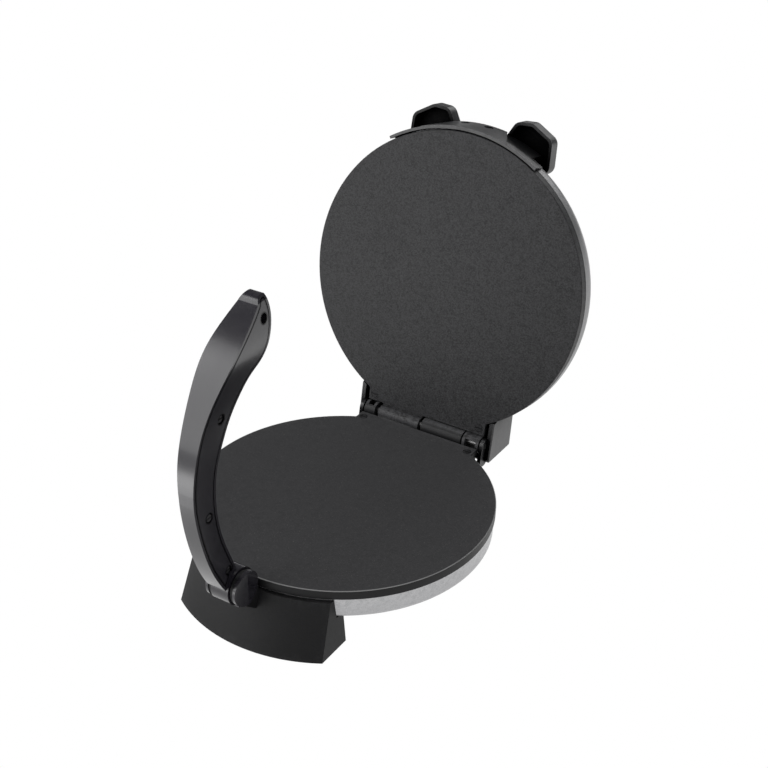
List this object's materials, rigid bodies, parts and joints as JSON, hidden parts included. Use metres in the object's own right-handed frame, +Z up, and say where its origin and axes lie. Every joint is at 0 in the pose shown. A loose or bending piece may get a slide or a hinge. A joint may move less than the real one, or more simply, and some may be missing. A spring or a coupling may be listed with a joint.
{
  "type": "electric flatbread maker",
  "caption": "Countertop flatbread press: two round non-stick heating plates joined by a rear hinge, domed silver lid with black ears, and a tall curved lever at the front that presses the lid.",
  "frame": {"origin": "on the surface the feet stand on, under the middle of the machine with its lid open; the plates' centre is 14.4 mm in front of it", "axes": "+Z up, -Y towards the pressing lever at the front, +Y towards the hinge, X across; lid fully open, lever upright"},
  "size_m": [0.2544, 0.4106, 0.3164],
  "materials": {
    "nonstick_casting": "charcoal non-stick coating on cast aluminium, fine speckle",
    "element_sheath": "heat-tinted steel sheath",
    "zinc_steel": "zinc-plated steel",
    "bright_aluminium": "bright rolled sheet",
    "ceramic_white": "unglazed ceramic body",
    "silver_paint": "satin silver paint on sheet steel",
    "black_foot": "moulded black plastic, fine matt grain",
    "black_rubber": "matt black rubber",
    "white_plastic": "off-white moulded plastic",
    "brass_screws": "plain brass",
    "lead_sleeve": "woven glass-fibre sleeve",
    "pin_steel": "drawn steel rod",
    "black_gloss": "glossy black moulded plastic",
    "black_satin": "semi-gloss black moulded plastic",
    "dark_screws": "blackened steel",
    "lamp_lens": "translucent red plastic",
    "lamp_glass": "clear glass neon lamp"
  },
  "bodies": {
    "base": {"lower_plate": "nonstick_casting", "lower_heating_element": "element_sheath", "lower_element_clips": "zinc_steel", "lower_clip_screws": "zinc_steel", "lower_reflector": "bright_aluminium", "lower_reflector_screws": "zinc_steel", "lower_thermal_fuse": "zinc_steel", "thermostat": "ceramic_white", "base_housing": "silver_paint", "bottom_cover": "zinc_steel", "cover_screws": "zinc_steel", "plate_post_screws": "zinc_steel", "lower_tab_screws": "dark_screws", "front_foot": "black_foot", "rear_foot": "black_foot", "foot_pads": "black_rubber", "foot_screws": "zinc_steel", "foot_nuts": "zinc_steel", "terminal_block": "white_plastic", "terminal_screws": "brass_screws", "cord_gland": "black_rubber", "base_leads": "lead_sleeve", "hinge_pin": "pin_steel", "lever_pin": "pin_steel", "pivot_caps": "black_gloss"},
    "lid": {"upper_plate": "nonstick_casting", "upper_heating_element": "element_sheath", "upper_element_clips": "zinc_steel", "upper_clip_screws": "zinc_steel", "upper_reflector": "bright_aluminium", "upper_reflector_screws": "zinc_steel", "upper_thermal_fuse": "zinc_steel", "upper_tab_screws": "dark_screws", "lid_leads": "lead_sleeve", "lid_shell": "silver_paint", "ear_band": "black_satin", "band_screws": "dark_screws", "rear_hood": "black_satin", "lamp_lenses": "lamp_lens", "pilot_lamps": "lamp_glass"},
    "lever": {"lever_body": "black_gloss", "lever_cover": "black_gloss", "lever_screws": "dark_screws", "lever_bush": "brass_screws", "lever_stiffener": "zinc_steel"}
  },
  "joints": [
    {"name": "lid_hinge", "type": "hinge", "parent": "base", "child": "lid", "pos_m": [0, 0.1169, 0.0555], "axis": [1, 0, 0], "range_deg": [0, 100]},
    {"name": "lever_pivot", "type": "hinge", "parent": "base", "child": "lever", "pos_m": [0, -0.1624, 0.061], "axis": [-1, 0, 0], "range_deg": [0, 43.5]}
  ]
}
